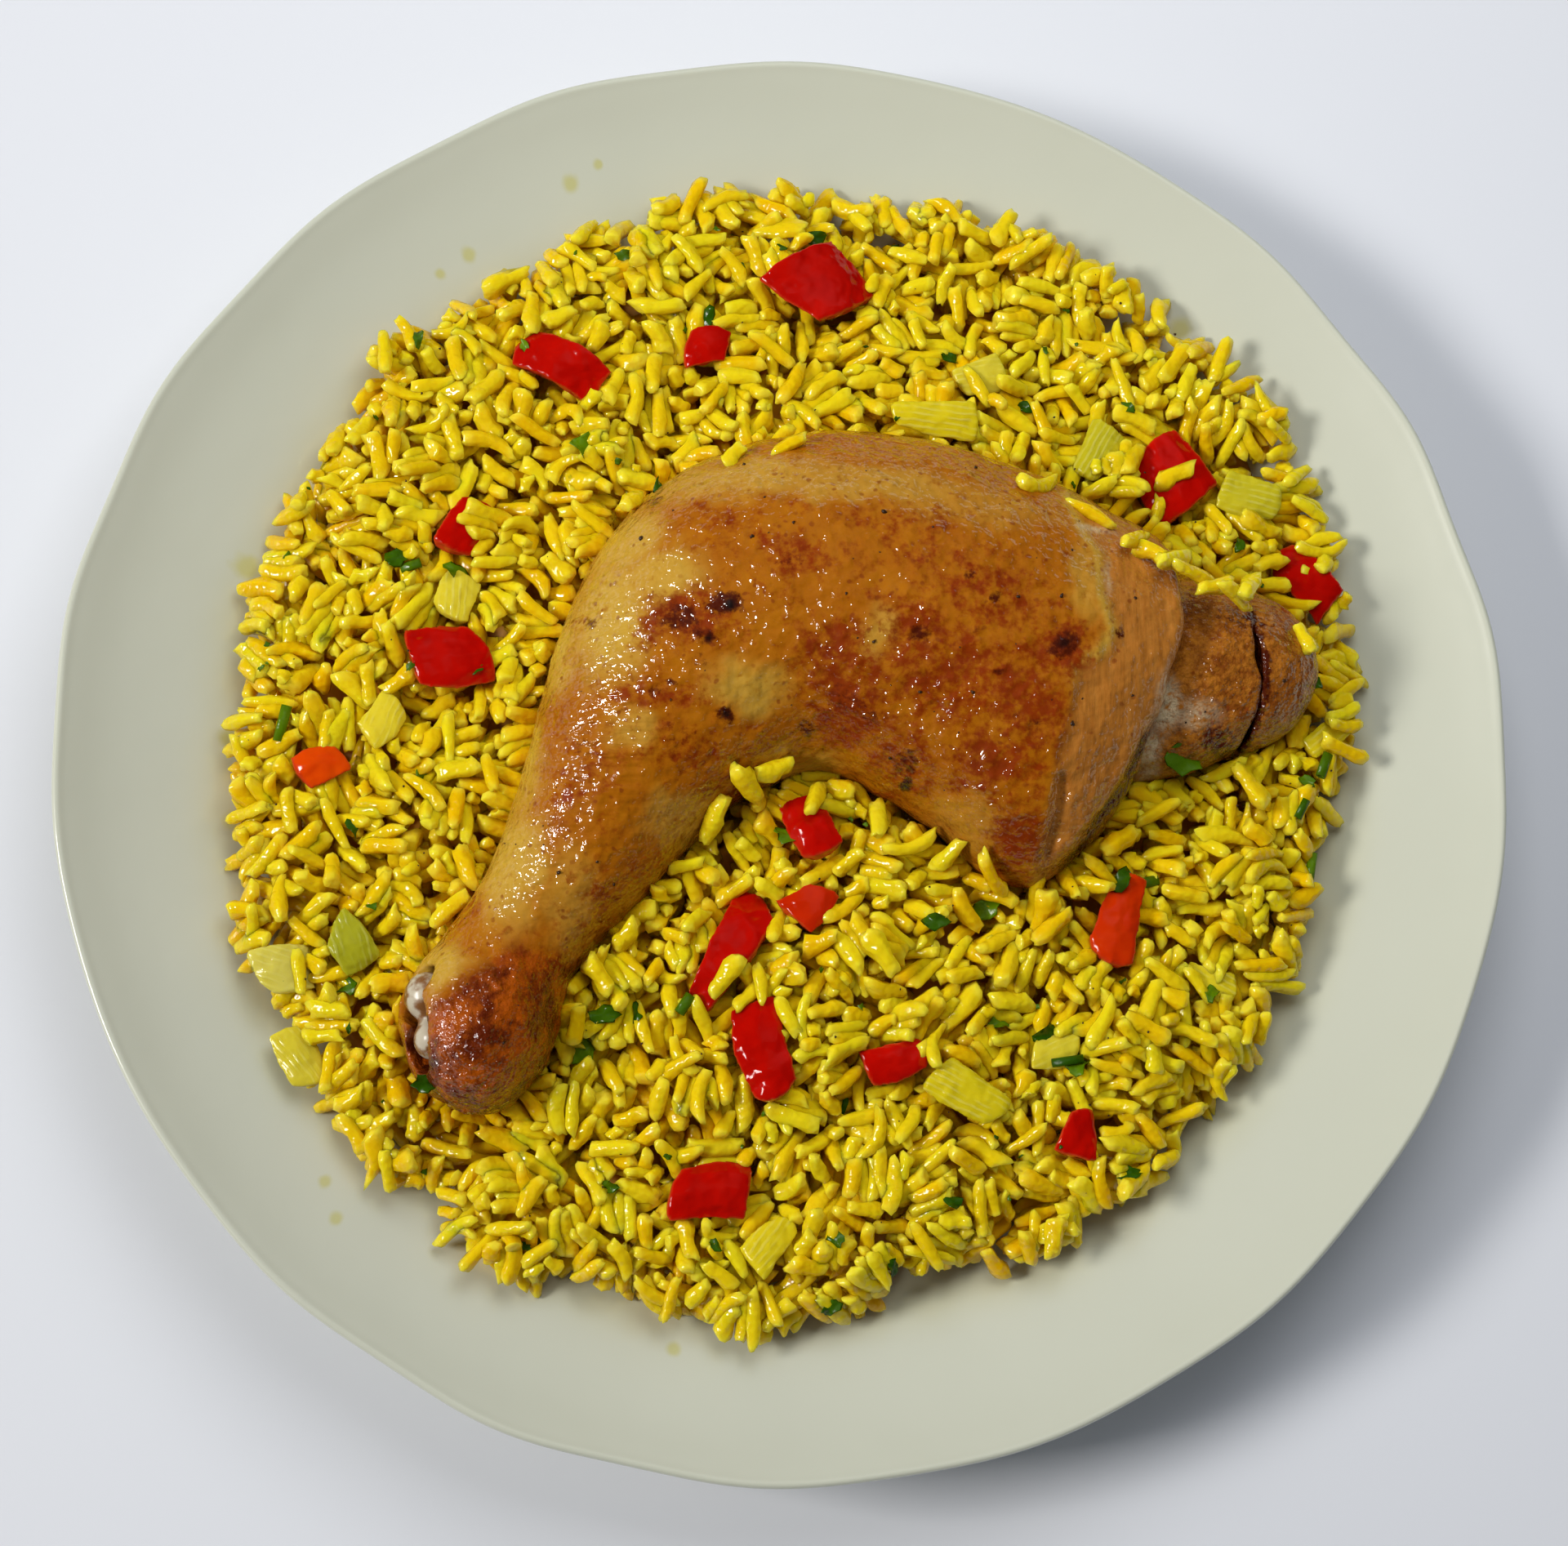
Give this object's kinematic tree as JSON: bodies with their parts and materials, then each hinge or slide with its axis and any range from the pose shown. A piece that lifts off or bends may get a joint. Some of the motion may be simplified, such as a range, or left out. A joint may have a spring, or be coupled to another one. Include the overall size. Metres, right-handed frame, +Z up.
{
  "type": "plate of chicken and rice",
  "caption": "Round shallow-lobed plate with a heap of yellow rice, a roast chicken leg with a piece of back on it, and diced red pepper and leek.",
  "frame": {"origin": "on the table under the middle of the plate", "axes": "+Z up, +Y to the far side of the plate, +X to the diner's right"},
  "size_m": [0.2792, 0.281, 0.059],
  "materials": {
    "glaze": "glossy cream-white glaze, faintly grey",
    "rice": "cooked yellow rice, moist, soft gloss",
    "chicken": "roasted skin, pale tan to red-brown, oily gloss with fine wrinkles",
    "bone": "moist off-white cartilage over bone",
    "pepper": "cooked red pepper, wet gloss",
    "leek": "cooked leek, translucent pale yellow-green",
    "herb": "wilted chopped chives and parsley, dark green, moist",
    "seasoning": "coarse ground black pepper specks"
  },
  "bodies": {
    "root": {"plate": "glaze", "rice": "rice", "chicken_leg": "chicken", "leg_bone": "bone", "pepper_01": "pepper", "pepper_02": "pepper", "pepper_03": "pepper", "pepper_04": "pepper", "pepper_05": "pepper", "pepper_06": "pepper", "pepper_07": "pepper", "pepper_08": "pepper", "pepper_09": "pepper", "pepper_10": "pepper", "pepper_11": "pepper", "pepper_12": "pepper", "pepper_13": "pepper", "pepper_14": "pepper", "pepper_15": "pepper", "pepper_16": "pepper", "leek_01": "leek", "leek_02": "leek", "leek_03": "leek", "leek_04": "leek", "leek_05": "leek", "leek_06": "leek", "leek_07": "leek", "leek_08": "leek", "leek_09": "leek", "leek_10": "leek", "leek_11": "leek", "leek_12": "leek", "leek_13": "leek", "leek_14": "leek"}
  },
  "joints": []
}
